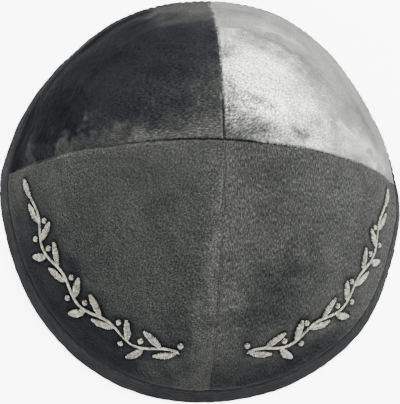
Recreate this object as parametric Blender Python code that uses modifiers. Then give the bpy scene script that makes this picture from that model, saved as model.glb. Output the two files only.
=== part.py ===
"""Skullcap sewn from four velvet panels, with a binding folded round its rim.

Lengths are metres and +Z is up. The cap rests on its rim at z = 0. Its four seams lie over the
X and Y axes, the front seam towards -Y, and left and right are those of someone facing it.
"""

import math

import bmesh
import bpy

# The dome, measured on the outer face of the velvet. Its section is the upper part of an oval
# that stands on the floor at WALL_START_ANGLE. An exponent of 2 makes that an ellipse, and a
# smaller one draws the crown up into a soft point.
RIM_WIDTH = 0.1656
RIM_LENGTH = 0.1744
CROWN_HEIGHT = 0.0594
WALL_START_ANGLE = math.radians(26)
WALL_EXPONENT = 9 / 5

# The velvet panels and their seams
PANEL_THICKNESS = 0.0018
SEAM_GAP = 0.0003
SEAM_GROOVE_DEPTH = 0.0008
SEAM_GROOVE_HALF_WIDTH = 0.0025
SEAM_GROOVE_RUN_OUT = 0.006
SEAM_GROOVE_PANEL_SHARE = 1 / 4

# The folded binding, whose channel holds the lower edge of the panels
BINDING_THICKNESS = 0.001
BINDING_HEIGHT = 0.0094
BINDING_INSIDE_HEIGHT = 0.0078
BINDING_FOLD_RADIUS = 0.0013
BINDING_SIDE_GAP = 0.0003
BINDING_EDGE_GAP = 0.0007

# How the soft rim sways from its oval, as shares of its mean radius
RIM_SWAYS = (
    {"azimuth_deg": 28, "half_width_deg": 21, "outward": -0.034},
    {"azimuth_deg": 70, "half_width_deg": 16, "outward": 0.022},
    {"azimuth_deg": 138, "half_width_deg": 16, "outward": -0.022},
    {"azimuth_deg": 181, "half_width_deg": 12, "outward": 0.022},
    {"azimuth_deg": 273, "half_width_deg": 20, "outward": -0.017},
    {"azimuth_deg": 318, "half_width_deg": 14, "outward": 0.016},
    {"azimuth_deg": 352, "half_width_deg": 8, "outward": 0.014},
)

# How finely the surfaces are divided and measured
WALL_ROWS = 16
GROOVE_COLUMNS = 3
PANEL_COLUMNS = 12
BINDING_LEG_ROWS = 3
RIM_STEPS = 720
SLOPE_STEP = math.radians(0.006)
SHARP_ANGLE = math.radians(40)

# Worked out from the sizes above
SEAM_COUNT = 4
SEAM_SPACING = 2 * math.pi / SEAM_COUNT
MEAN_RADIUS = (RIM_WIDTH + RIM_LENGTH) / 4
OVAL_REACH = (RIM_WIDTH - RIM_LENGTH) / 4
WALL_POWER = 2 / WALL_EXPONENT
WALL_START_SHARE = math.sin(WALL_START_ANGLE) ** WALL_POWER
BINDING_OUTSIDE = BINDING_SIDE_GAP + BINDING_THICKNESS
BINDING_INSIDE = -PANEL_THICKNESS - BINDING_SIDE_GAP - BINDING_THICKNESS

VELVET_COLOR = (0.085, 0.088, 0.093, 1.0)
VELVET_ROUGHNESS = 0.85
BINDING_COLOR = (0.040, 0.041, 0.045, 1.0)
BINDING_ROUGHNESS = 0.8


def smooth_step(share):
    """0 below 0, 1 above 1 and a soft rise between them."""
    share = min(max(share, 0.0), 1.0)
    return share * share * (3 - 2 * share)


def rim_sway(azimuth):
    """How far the rim stands out from a circle of the mean radius at this azimuth."""
    reach = OVAL_REACH * math.cos(2 * azimuth)
    for sway in RIM_SWAYS:
        away = math.degrees(azimuth) - sway["azimuth_deg"]
        away = (away + 180) % 360 - 180
        bell = math.exp(-((away / sway["half_width_deg"]) ** 2))
        reach += MEAN_RADIUS * sway["outward"] * bell
    return reach


def wall_place(turn):
    """Radius share and height share of the wall at this turn, which is 90 degrees at the crown."""
    radius_share = (max(math.cos(turn), 0.0) / math.cos(WALL_START_ANGLE)) ** WALL_POWER
    height_share = (math.sin(turn) ** WALL_POWER - WALL_START_SHARE) / (1 - WALL_START_SHARE)
    return radius_share, height_share


def turn_at(height):
    """The turn at which the wall has this height."""
    rise = WALL_START_SHARE + (1 - WALL_START_SHARE) * height / CROWN_HEIGHT
    return math.asin(rise ** (1 / WALL_POWER))


def wall_section(azimuth, turn, outward=0.0):
    """Distance from the axis and height of a wall point, moved outward square to the wall."""
    def place(at_turn):
        radius_share, height_share = wall_place(at_turn)
        radius = radius_share * (MEAN_RADIUS + (1 - height_share) * rim_sway(azimuth))
        return radius, height_share * CROWN_HEIGHT

    low_radius, low_height = place(turn - SLOPE_STEP)
    high_radius, high_height = place(min(turn + SLOPE_STEP, math.pi / 2))
    run = high_radius - low_radius
    rise = high_height - low_height
    radius, height = place(turn)
    length = math.hypot(run, rise)
    return radius + outward * rise / length, height - outward * run / length


def column_azimuths(radius):
    """Azimuths of the mesh columns at this radius, closer together beside each seam."""
    panel_arc = radius * SEAM_SPACING
    groove_arc = min(SEAM_GROOVE_HALF_WIDTH, panel_arc * SEAM_GROOVE_PANEL_SHARE)
    arcs = [groove_arc * i / GROOVE_COLUMNS for i in range(GROOVE_COLUMNS)]
    middle_arc = panel_arc - 2 * groove_arc
    arcs += [groove_arc + middle_arc * i / PANEL_COLUMNS for i in range(PANEL_COLUMNS)]
    arcs += [panel_arc - groove_arc * (1 - i / GROOVE_COLUMNS) for i in range(GROOVE_COLUMNS)]
    return [seam * SEAM_SPACING + arc / radius for seam in range(SEAM_COUNT) for arc in arcs]


def groove_depth(azimuth, radius, height):
    """Depth of the seam grooves, which run out above the binding and short of the crown."""
    to_seam = radius * min(abs(math.sin(azimuth)), abs(math.cos(azimuth)))
    across = 1 - smooth_step(to_seam / SEAM_GROOVE_HALF_WIDTH)
    above_binding = smooth_step((height - BINDING_HEIGHT) / SEAM_GROOVE_RUN_OUT)
    below_crown = smooth_step(radius / SEAM_GROOVE_RUN_OUT)
    return SEAM_GROOVE_DEPTH * across * above_binding * below_crown


def panel_edge_turn():
    """Turn of the panels' lower edge, whose inner corner stands clear of the binding's fold."""
    _, outer_height = wall_section(0.0, WALL_START_ANGLE)
    _, inner_height = wall_section(0.0, WALL_START_ANGLE, -PANEL_THICKNESS)
    corner_drop = outer_height - inner_height
    return turn_at(BINDING_THICKNESS + BINDING_EDGE_GAP + corner_drop)


def around(radius, azimuth, height):
    """A point at this distance from the axis."""
    return (radius * math.cos(azimuth), radius * math.sin(azimuth), height)


def join_rows(shape, rows):
    """Faces between neighbouring rows of vertices, each row closed on itself."""
    for lower, upper in zip(rows, rows[1:]):
        for i in range(len(lower)):
            after = (i + 1) % len(lower)
            shape.faces.new((lower[i], lower[after], upper[after], upper[i]))


def finished_mesh(shape, name, material):
    """The bmesh as a smooth-shaded mesh of one material."""
    mesh = bpy.data.meshes.new(name)
    shape.to_mesh(mesh)
    shape.free()
    mesh.materials.append(material)
    mesh.shade_smooth()
    mesh.set_sharp_from_angle(angle=SHARP_ANGLE)
    return mesh


def dome_surface(material):
    """The outer face of the velvet, from its edge inside the binding up to the crown."""
    shape = bmesh.new()
    rows = []
    low_turn = panel_edge_turn()
    for row in range(WALL_ROWS):
        turn = low_turn + (math.pi / 2 - low_turn) * row / WALL_ROWS
        radius_share, _ = wall_place(turn)
        verts = []
        for azimuth in column_azimuths(radius_share * MEAN_RADIUS):
            radius, height = wall_section(azimuth, turn)
            depth = groove_depth(azimuth, radius, height)
            radius, height = wall_section(azimuth, turn, -depth)
            verts.append(shape.verts.new(around(radius, azimuth, height)))
        rows.append(verts)
    join_rows(shape, rows)
    crown = shape.verts.new((0.0, 0.0, CROWN_HEIGHT))
    top = rows[-1]
    for i in range(len(top)):
        shape.faces.new((top[i], top[(i + 1) % len(top)], crown))
    return finished_mesh(shape, "dome_surface", material)


def curve_middle(start, corner, end):
    """The middle of the curve that sets out from start towards the corner and bends to end."""
    return tuple((a + 2 * b + c) / 4 for a, b, c in zip(start, corner, end))


def leg_points(azimuth, outward, leg_height):
    """A leg of the binding from its hem down to the floor, with its foot rounded under."""
    _, lift = wall_section(azimuth, WALL_START_ANGLE, outward)

    def at_height(height):
        return wall_section(azimuth, turn_at(height - lift), outward)

    step = (leg_height - BINDING_FOLD_RADIUS) / BINDING_LEG_ROWS
    leg = [at_height(leg_height - step * i) for i in range(BINDING_LEG_ROWS + 1)]
    corner_radius, _ = at_height(0.0)
    foot = (corner_radius - math.copysign(BINDING_FOLD_RADIUS, outward), 0.0)
    return leg + [curve_middle(leg[-1], (corner_radius, 0.0), foot), foot]


def binding_surface(material):
    """The outer face of the binding: down its outside, flat under the rim and up its inside."""
    shape = bmesh.new()
    columns = []
    for azimuth in column_azimuths(MEAN_RADIUS):
        outside = leg_points(azimuth, BINDING_OUTSIDE, BINDING_HEIGHT)
        inside = leg_points(azimuth, BINDING_INSIDE, BINDING_INSIDE_HEIGHT)
        path = outside + inside[::-1]
        columns.append([shape.verts.new(around(radius, azimuth, height)) for radius, height in path])
    rows = [list(row) for row in zip(*columns)]
    join_rows(shape, rows[::-1])
    return finished_mesh(shape, "binding_surface", material)


def rim_middle():
    """Middle of the box round the rim, as the sways leave it off the crown's axis."""
    outline = []
    for i in range(RIM_STEPS):
        azimuth = 2 * math.pi * i / RIM_STEPS
        radius, _ = wall_section(azimuth, WALL_START_ANGLE, BINDING_OUTSIDE)
        outline.append(around(radius, azimuth, 0.0))
    xs = [point[0] for point in outline]
    ys = [point[1] for point in outline]
    return (max(xs) + min(xs)) / 2, (max(ys) + min(ys)) / 2


def make_material(name, color, roughness):
    material = bpy.data.materials.new(name)
    material.use_nodes = True
    shader = material.node_tree.nodes["Principled BSDF"]
    shader.inputs["Base Color"].default_value = color
    shader.inputs["Roughness"].default_value = roughness
    shader.inputs["Metallic"].default_value = 0.0
    material.diffuse_color = color
    return material


def make_object(name, mesh, collection, parent):
    made = bpy.data.objects.new(name, mesh)
    made.parent = parent
    collection.objects.link(made)
    return made


def add_wall(piece, thickness):
    """Gives an outer face its thickness, on the inner side."""
    wall = piece.modifiers.new("Wall", "SOLIDIFY")
    wall.thickness = thickness
    wall.offset = -1.0
    wall.use_even_offset = True


def quarter_cutter(name, side_x, side_y, collection, parent):
    """A box round one quarter of the cap, half a seam gap short of the two seams beside it."""
    size = 2 * (RIM_WIDTH + RIM_LENGTH + CROWN_HEIGHT)
    shape = bmesh.new()
    bmesh.ops.create_cube(shape, size=size)
    mesh = bpy.data.meshes.new(name)
    shape.to_mesh(mesh)
    shape.free()
    cutter = make_object(name, mesh, collection, parent)
    reach = (size + SEAM_GAP) / 2
    cutter.location = (side_x * reach, side_y * reach, 0.0)
    cutter.hide_render = True
    cutter.display_type = "WIRE"
    return cutter


def make_panel(name, side_x, side_y, surface, parts, cutters, parent):
    panel = make_object(name, surface, parts, parent)
    add_wall(panel, PANEL_THICKNESS)
    quarter = panel.modifiers.new("Quarter", "BOOLEAN")
    quarter.operation = "INTERSECT"
    quarter.object = quarter_cutter(name + "_quarter", side_x, side_y, cutters, parent)


def clear_scene():
    for item in list(bpy.data.objects):
        bpy.data.objects.remove(item, do_unlink=True)


def main():
    clear_scene()
    scene = bpy.context.scene
    parts = bpy.data.collections.new("skullcap")
    cutters = bpy.data.collections.new("cutters")
    scene.collection.children.link(parts)
    scene.collection.children.link(cutters)

    cap = make_object("cap", None, parts, None)
    middle_x, middle_y = rim_middle()
    cap.location = (-middle_x, -middle_y, 0.0)

    velvet = dome_surface(make_material("velvet", VELVET_COLOR, VELVET_ROUGHNESS))
    make_panel("panel_front_left", -1, -1, velvet, parts, cutters, cap)
    make_panel("panel_front_right", 1, -1, velvet, parts, cutters, cap)
    make_panel("panel_back_left", -1, 1, velvet, parts, cutters, cap)
    make_panel("panel_back_right", 1, 1, velvet, parts, cutters, cap)

    strip = binding_surface(make_material("binding_cloth", BINDING_COLOR, BINDING_ROUGHNESS))
    add_wall(make_object("rim_binding", strip, parts, cap), BINDING_THICKNESS)


main()
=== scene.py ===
"""Finish of the skullcap: brushed velvet, sewn seams, a ribbed binding and a stitched garland.

Lengths are metres. Azimuths run round the crown, with the front seam at 270 degrees, and left
and right are those of someone facing the front seam. Arcs are measured up the velvet from the
rim to the crown. Quarters count the panels, and the seam that each starts at, by azimuth.
"""

import math
from collections import namedtuple

import bpy
import numpy as np
from mathutils import Matrix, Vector
from mathutils.kdtree import KDTree


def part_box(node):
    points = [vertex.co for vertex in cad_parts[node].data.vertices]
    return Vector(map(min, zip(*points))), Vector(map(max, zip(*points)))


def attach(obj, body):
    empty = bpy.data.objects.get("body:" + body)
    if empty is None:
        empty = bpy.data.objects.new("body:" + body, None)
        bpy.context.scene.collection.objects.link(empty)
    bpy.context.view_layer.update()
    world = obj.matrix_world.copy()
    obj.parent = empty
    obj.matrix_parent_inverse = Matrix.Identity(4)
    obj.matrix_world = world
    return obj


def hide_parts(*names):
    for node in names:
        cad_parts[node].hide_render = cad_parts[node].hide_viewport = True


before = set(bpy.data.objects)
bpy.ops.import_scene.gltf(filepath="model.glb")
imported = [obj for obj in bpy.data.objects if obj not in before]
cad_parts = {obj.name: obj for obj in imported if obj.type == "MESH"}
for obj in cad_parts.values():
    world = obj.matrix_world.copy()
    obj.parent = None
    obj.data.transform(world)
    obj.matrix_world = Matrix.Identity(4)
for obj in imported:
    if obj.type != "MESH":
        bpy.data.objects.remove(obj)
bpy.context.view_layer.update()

MM = 0.001
QUARTER = math.pi / 2

# A stretch of the rim, by the azimuth of its middle, half its width and how much changes there
Stretch = namedtuple("Stretch", "azimuth_deg half_deg amount")

# Smooth noise, by its depth, the length of its waves and the seed of its draws
Waves = namedtuple("Waves", "depth length seed")

# The dome, the same as in the solids. Its sways are shares of the mean radius, outward.
RIM_WIDTH = 0.1656
RIM_LENGTH = 0.1744
CROWN_HEIGHT = 0.0594
WALL_START_ANGLE = math.radians(26)
WALL_EXPONENT = 9 / 5
PANEL_THICKNESS = 1.8 * MM
SEAM_GAP = 0.3 * MM
RIM_SWAYS = (
    Stretch(28, 21, -0.034),
    Stretch(70, 16, 0.022),
    Stretch(138, 16, -0.022),
    Stretch(181, 12, 0.022),
    Stretch(273, 20, -0.017),
    Stretch(318, 14, 0.016),
    Stretch(352, 8, 0.014),
)

# The binding's section, the same as in the solids
BINDING_THICKNESS = 1.0 * MM
BINDING_HEIGHT = 9.4 * MM
BINDING_INSIDE_HEIGHT = 7.8 * MM
BINDING_FOLD_RADIUS = 1.3 * MM
BINDING_SIDE_GAP = 0.3 * MM

# Where the panels' edges roll under at the seams
SEAM_FOLD_DEPTH = 1.0 * MM
SEAM_FOLD_WIDTH = 0.38 * MM
SEAM_FOLD_POWER = 1.2
SEAM_ROLL_DEPTH = 0.25 * MM
SEAM_ROLL_WIDTH = 2.4 * MM
SEAM_SHARE_AT_BINDING = 0.25
SEAM_DEEPENS_OVER = 5.0 * MM
SEAM_EDGE_GAP = 0.001 * MM
SEAM_TAPE_HALF_WIDTH = 5.0 * MM
SEAM_TAPE_THICKNESS = 0.5 * MM
SEAM_TAPE_EDGE = 1.0 * MM
SEAM_TAPE_STARTS_OVER = 4.0 * MM
PUCKER = Waves(0.10 * MM, 5.0 * MM, seed=2)
PUCKER_REACH = 5.0 * MM

# How the velvet swells over the binding and lies a little uneven
SWELLS = (
    Stretch(45, 52, 1.4 * MM),
    Stretch(130, 46, 0.8 * MM),
    Stretch(225, 60, 0.9 * MM),
    Stretch(300, 50, 0.9 * MM),
)
SWELL_POWER = 4
SWELL_ABOVE_BINDING = 3.0 * MM
SWELL_HALF_HEIGHT = 3.4 * MM
SWELL_STARTS_BELOW = 1.0 * MM
SWELL_GROWS_OVER = 1.5 * MM
SWELL_RUFFLE = Waves(0.35 * MM, 3.6 * MM, seed=9)
SLACK = Waves(0.22 * MM, 26.0 * MM, seed=1)
SLACK_STARTS_ABOVE = 1.0 * MM
SLACK_GROWS_OVER = 4.0 * MM
CLUMPS = Waves(0.05 * MM, 2.2 * MM, seed=3)

# How finely the panels are divided, and the most of a row's arc that an edge's gap and roll take
PANEL_ROWS = 176
PANEL_COLUMNS = 176
PANEL_FOOT_RISE = 0.8 * MM
SEAM_COLUMNS = 10
SEAM_COLUMN_CROWDING = 1.5
EDGE_LARGEST_SHARE = 1 / 6
ROLL_LARGEST_SHARE = 1 / 4
INSIDE_STEP = 4
CROWN_OPENING = 0.05 * MM
ARC_TABLE_POINTS = 2000

# How many waves a smooth noise adds up, and how their lengths vary
NOISE_WAVES = 24
NOISE_LENGTHS = (0.7, 1.5)

# Seeds of the patches' borders, the stitches and the fibres
WANDER_SEED = 30
GARLAND_SEED = 20
SEAM_STITCH_SEED = 40
HEM_STITCH_SEED = 60
FUZZ_SEED = 70

# The panels, by the quarter turn they start at, how light their pile is painted, the way it lies and
# how long its streaks are. The lightness is painted sheen and shade of the nap: the same velvet is
# painted silvery on one panel and near black on another, as the lamps catch or miss its nap.
Panel = namedtuple("Panel", "name quarter lightness nap_deg streak")
PANELS = (
    Panel("panel_back_right", 0, 0.413, 45, 1.30 * MM),
    Panel("panel_back_left", 1, 0.0072, 180, 1.30 * MM),
    Panel("panel_front_left", 2, 0.0180, 225, 0.85 * MM),
    Panel("panel_front_right", 3, 0.0262, 270, 1.30 * MM),
)

# A patch of a panel, by the azimuth and the share of the arc up to the crown of its middle, half
# its size each way, and how much it multiplies by. A larger edge makes a firmer border.
Patch = namedtuple("Patch", "azimuth_deg half_deg up half_up gain edge", defaults=[2])

# Places where the pile is painted lighter or darker than the rest of its panel, by quarter: the
# pile's brushed tone together with painted sheen, highlights and shade of the nap
PILE_TONE_AND_SHEEN_PATCHES = (
    (
        Patch(45, 90, 1.00, 0.15, 0.08),
        Patch(10, 24, 0.88, 0.08, 0.50),
        Patch(40, 80, 0.28, 0.32, 0.27, edge=6),
        Patch(72, 20, 0.64, 0.12, 1.45),
        Patch(45, 30, 0.80, 0.08, 1.20),
        Patch(65, 12, 0.39, 0.05, 1.70),
        Patch(52, 22, 0.50, 0.045, 0.70),
        Patch(86, 5, 0.64, 0.05, 0.24),
        Patch(86, 6, 0.54, 0.04, 1.60),
        Patch(86, 8, 0.80, 0.05, 0.40),
        Patch(9, 5, 0.735, 0.04, 0.22),
        Patch(7, 7, 0.42, 0.14, 2.00),
        Patch(84, 10, 0.27, 0.12, 0.72),
        Patch(76, 18, 0.93, 0.06, 0.60),
        Patch(64, 12, 0.82, 0.06, 1.40),
        Patch(36, 14, 0.81, 0.07, 2.60),
        Patch(12, 8, 0.59, 0.06, 0.60),
        Patch(14, 4, 0.47, 0.04, 1.80),
        Patch(4, 4, 0.49, 0.04, 1.25),
        Patch(51, 8, 0.87, 0.04, 0.78),
        Patch(22, 8, 0.89, 0.04, 0.74),
        Patch(12, 5, 0.68, 0.04, 0.68),
        Patch(2, 4, 0.61, 0.04, 0.66),
        Patch(13, 5, 0.76, 0.03, 1.30),
        Patch(6, 4, 0.36, 0.04, 1.60),
        Patch(3, 4, 0.26, 0.04, 1.60),
        Patch(15, 12, 0.30, 0.08, 0.62),
    ),
    (
        Patch(98, 15, 0.20, 0.25, 4.70, edge=4),
        Patch(165, 14, 0.08, 0.06, 2.30),
        Patch(145, 50, 0.15, 0.27, 0.40, edge=4),
        Patch(135, 80, 1.00, 0.10, 1.90),
        Patch(135, 75, 0.95, 0.20, 2.50),
        Patch(177, 10, 0.72, 0.24, 2.70),
        Patch(170, 5, 0.46, 0.06, 0.46),
        Patch(172, 5, 0.63, 0.05, 0.72),
        Patch(170, 7, 0.83, 0.06, 0.66),
        Patch(172, 7, 0.74, 0.06, 1.50),
        Patch(170, 3, 0.54, 0.02, 2.40),
        Patch(175, 3, 0.42, 0.04, 2.20),
        Patch(177, 3, 0.25, 0.05, 4.00),
        Patch(178, 4, 0.42, 0.12, 2.00),
        Patch(97, 8, 0.74, 0.16, 1.70),
    ),
    (
        Patch(183, 16, 0.60, 0.36, 1.30),
        Patch(268, 6, 0.50, 0.55, 1.65),
        Patch(219, 31, 0.10, 0.25, 0.43, edge=6),
        Patch(255, 12, 0.86, 0.06, 1.12),
        Patch(254, 14, 0.12, 0.07, 0.64),
        Patch(193, 9, 0.15, 0.14, 1.40),
        Patch(222, 20, 0.60, 0.08, 1.12),
        Patch(235, 36, 0.88, 0.12, 1.35),
        Patch(259, 6, 0.37, 0.14, 0.72),
    ),
    (
        Patch(292, 18, 0.45, 0.17, 0.60),
        Patch(282, 8, 0.53, 0.07, 0.84),
        Patch(298, 8, 0.48, 0.07, 0.82),
        Patch(279, 8, 0.31, 0.10, 0.72),
        Patch(273, 4, 0.45, 0.20, 1.30),
        Patch(290, 27, 0.06, 0.17, 0.32, edge=4),
        Patch(316, 14, 0.10, 0.06, 1.22),
        Patch(322, 22, 0.80, 0.12, 0.82),
        Patch(330, 14, 0.36, 0.12, 0.85),
        Patch(352, 12, 0.22, 0.18, 1.10),
    ),
)

# Places where the pile's grain is coarser or smoother, by quarter
GRAIN_PATCHES = (
    (
        Patch(40, 80, 0.25, 0.34, 0.30, edge=4),
        Patch(68, 40, 0.80, 0.16, 1.90),
        Patch(45, 60, 0.55, 0.25, 1.12, edge=4),
    ),
    (
        Patch(140, 60, 0.25, 0.40, 0.60, edge=4),
        Patch(135, 90, 0.60, 0.50, 0.85, edge=6),
    ),
    (
        Patch(225, 60, 0.50, 0.60, 0.98, edge=6),
        Patch(236, 34, 0.08, 0.18, 0.80, edge=4),
        Patch(205, 36, 0.80, 0.22, 0.66),
    ),
    (
        Patch(315, 60, 0.50, 0.60, 0.88, edge=6),
    ),
)

# How far the borders of all patches wander
PATCH_WANDERS = (
    {"length": 9 * MM, "up": 0.018, "degrees": 2.0},
    {"length": 3 * MM, "up": 0.009, "degrees": 1.0},
)

# The seams: how deep the crease is, how far up it opens, how much painted shade darkens the crease,
# how much painted highlight lightens each of its two lips, and how light its stitches are painted,
# lighter or darker by seam as they look lit though the thread is the same
Seam = namedtuple("Seam", "depth opens_from crease lip_before lip_after stitches")
SEAMS = (
    Seam(0.85, 0.45, 0.88, 1.10, 1.00, 0.007),
    Seam(0.80, 0.72, 0.80, 1.20, 2.40, 0.035),
    Seam(0.70, 0.66, 0.80, 1.00, 1.40, 0.007),
    Seam(0.30, 0.00, 0.15, 1.10, 1.00, 0.050),
)
SEAM_OPENS_OVER = 0.25
SEAM_SHARE_SHUT = 0.12
CREASE_SHADE_HALF_WIDTH = 0.36 * MM
LIP_HIGHLIGHT_PLACE = 0.9 * MM
LIP_HIGHLIGHT_HALF_WIDTH = 0.5 * MM
LIP_UNEVENNESS = Waves(0.35, 4.0 * MM, seed=5)
LIP_UNEVENNESS_LIMIT = 0.525

# The shadow of the pile just above the binding
HEM_PILE_GAIN = 0.52
HEM_PILE_PLACE = 0.3 * MM
HEM_PILE_HALF_WIDTH = 0.6 * MM

# The leaf garland stitched along both front panels
GARLAND_ARC = 29.0 * MM
GARLAND_SPANS = (
    {"name": "garland_left", "quarter": 2, "from_deg": 262.0, "to_deg": 188.5},
    {"name": "garland_right", "quarter": 3, "from_deg": 278.0, "to_deg": 351.5},
)
VINE_WAVE_LENGTH = 24.0 * MM
VINE_WAVE_REACH = 1.9 * MM
VINE_STITCH_LENGTH = 1.5 * MM
VINE_STITCH_STEP = 0.66 * MM
VINE_HALF_WIDTH = 0.50 * MM
LEAF_SPACING = 6.0 * MM
LEAF_LENGTH = 9.6 * MM
LEAF_HALF_WIDTH = 1.35 * MM
LEAF_START_SHARE = 0.04
LEAF_FULLNESS = 0.8
LEAF_FOOT_WIDTH = 1.2
LEAF_TIP_WIDTH = 0.8
LEAF_TILT = math.radians(56)
LEAF_TILT_SPREAD = 0.08
LEAF_BEND = 0.16
LEAF_STITCH_STEP = 0.66 * MM
LEAF_STITCH_SLANT = 0.7 * MM
LEAF_STITCH_UNEVENNESS = 0.16
BERRY_RADIUS = 1.05 * MM
BERRY_REACH = 3.3 * MM
BERRY_TILT = 1.35
BERRY_SHORTEST_SHARE = 0.3
GARLAND_LIGHTNESS = 0.265
GARLAND_SHADES = (0.30, 1.40)

# How a thread arches out of the cloth, and how the pile is pressed down beside the garland, where it
# is darkened partly as pressed pile and partly as painted shade
THREAD_RADIUS = 0.23 * MM
THREAD_END_SHARE = 0.45
THREAD_BASE = -0.12 * MM
THREAD_RISE = 0.30 * MM
THREAD_RISE_SHARE = 0.16
THREAD_ARCH_POWER = 0.6
THREAD_POINTS = 7
THREAD_SIDES = 5
PRESSED_DEPTH = 0.22 * MM
PRESSED_REACH = 1.5 * MM
PRESSED_DARKENING_AND_SHADE = 0.68

# The stitches along the seams and the binding
SEAM_STITCH_START = 1.5 * MM
SEAM_STITCH_LENGTH = 0.9 * MM
SEAM_STITCH_SPACING = 1.3 * MM
SEAM_STITCH_RADIUS = 0.13 * MM
SEAM_STITCH_RISE = 0.2 * MM
SEAM_STITCH_SUNK_SHARE = 0.8
SEAM_STITCH_SHADES = (0.5, 1.3)
HEM_STITCH_LENGTH = 2.2 * MM
HEM_STITCH_SPACING = 3.4 * MM
HEM_STITCH_DROP = 1.3 * MM
HEM_STITCH_RISE = 0.12 * MM
HEM_STITCH_RADIUS = 0.15 * MM
HEM_STITCH_SHADES = (0.002, 0.007)

# Pile fibres that lean out of the light panel over its two seams, painted light like that panel's
# painted sheen
FUZZ_SEAMS = (
    {"quarter": 0, "towards": -1, "from_share": 0.16, "to_share": 0.90, "count": 420},
    {"quarter": 1, "towards": 1, "from_share": 0.16, "to_share": 0.86, "count": 620},
)
FUZZ_ROOT = 0.5 * MM
FUZZ_ROOT_SHARES = (0.3, 1.0)
FUZZ_REACH = 0.75 * MM
FUZZ_REACH_SHARES = (0.1, 1.0)
FUZZ_LEAN = 0.6 * MM
FUZZ_RADIUS = 0.07 * MM
FUZZ_BASE = -0.42 * MM
FUZZ_RISE = 0.42 * MM
FUZZ_RISE_SHARES = (0.6, 1.3)
FUZZ_SHEEN_LIGHTNESS = 0.22
FUZZ_SHADES = (0.3, 1.3)

# How finely the binding is divided, from how far apart two of its points are kept, its ribs, its
# waves, and how light it is painted: paler on its rib crests and top, partly as rubbing and partly
# as painted highlight, and lighter or darker in stretches round the rim
BINDING_COLUMNS = 480
BINDING_LEG_POINTS = 26
BINDING_COARSE_STEP = 3
BINDING_ROUND_POINTS = 6
BINDING_INNER_FOLD = 0.6 * MM
BINDING_SAME_PLACE = 0.01 * MM
RIB_SPACING = 1.7 * MM
RIB_DEPTH = 0.04 * MM
RIBS_START = 0.5 * MM
RIBS_DEEPEN_OVER = 1.5 * MM
BINDING_WAVES = Waves(0.16 * MM, 14.0 * MM, seed=7)
BINDING_WAVES_GROW_OVER = 3.0 * MM
BINDING_WAVE_LIMIT = 0.2 * MM
BINDING_PUCKER = Waves(0.05 * MM, 3.4 * MM, seed=8)
BINDING_LIGHTNESS = 0.0140
BINDING_PATCHES = (
    Stretch(180, 16, 1.35),
    Stretch(345, 24, 1.8),
    Stretch(135, 18, 1.8),
    Stretch(268, 24, 0.86),
)
WEAR_EVERYWHERE = 0.80
WEAR_AND_SHEEN_ON_RIBS = 0.35
WEAR_AND_SHEEN_AT_HEM = 0.25
HEM_WEAR_AND_SHEEN_HALF_WIDTH = 0.9 * MM

# The pile's grain and clouds: how long they are and how far they change its lightness
NAP_WIDTH = 0.42 * MM
NAP_STREAK = 1.30 * MM
NAP_STREAK_SPREAD = (-1.7, 1.7)
NAP_SPECK = 0.5 * MM
NAP_SPECK_SPREAD = (-1.0, 1.0)
VELVET_CLOUD = 13.0 * MM
VELVET_CLOUD_SPREAD = (0.40, 1.60)
VELVET_LIGHTEST = 0.92
VELVET_SHEEN_ROUGHNESS = 0.35

# The weave and clouds of the velvet's back
BACKING_PITCH = 0.45 * MM
BACKING_THREAD_SPREAD = (0.022, 0.050)
BACKING_CLOUD = 7.0 * MM
BACKING_CLOUD_SPREAD = (0.7, 1.3)

# The weave, slubs and clouds of the binding cloth
BINDING_PITCH = 0.5 * MM
BINDING_THREAD_SPREAD = (0.80, 1.15)
SLUB_LENGTH = 3.5 * MM
SLUB_WIDTH = 0.35 * MM
SLUB_SPREAD = (0.0, 2.0)
BINDING_CLOUD = 9.0 * MM
BINDING_CLOUD_SPREAD = (0.50, 1.50)

# The plies of the threads and their mottling
PLY_PITCH = 0.30 * MM
PLY_SPREAD = (0.70, 1.10)
MOTTLE_LENGTH = 0.9 * MM
MOTTLE_SPREAD = (-0.40, 2.20)
THREAD_DARKEST = 0.004

# The tints of each material where it is dark and light, the lightness at which the second is
# reached, and its roughness, bump and shine
Look = namedtuple("Look", "dark_tint light_tint tint_reach roughness bump bump_depth specular sheen")
LOOKS = {
    "velvet": Look((0.92, 1, 1.26), (0.965, 1, 0.93), 0.018, (0.82, 1.0), 0.55, 0.18 * MM, 0.0, 0.022),
    "velvet_backing": Look((0.96, 1, 1.06), (1, 1, 1), 0.08, (0.80, 0.98), 0.5, 0.12 * MM, 0.2, 0.0),
    "binding_cloth": Look((0.97, 1, 1.05), (1.02, 1, 0.95), 0.10, (0.70, 0.95), 0.5, 0.12 * MM, 0.0, 0.004),
    "garland_thread": Look((1, 0.99, 0.77), (1, 0.99, 0.77), 1.0, (0.55, 0.45), 0.4, 0.05 * MM, 0.4, 0.1),
    "sewing_thread": Look((0.98, 1, 1), (0.98, 1, 1), 1.0, (0.70, 0.60), 0.4, 0.05 * MM, 0.1, 0.02),
}

# The camera, at the photo's angle
CAMERA_ELEVATION = math.radians(74.25)
CAMERA_AZIMUTH = math.radians(-19.54)
CAMERA_ROLL = math.radians(20.41)
CAMERA_DISTANCE = 0.2307
CAMERA_LENS = 48.10
CAMERA_SHIFT = (-0.0179, -0.0408)
CAMERA_NEAREST = 0.01

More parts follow.
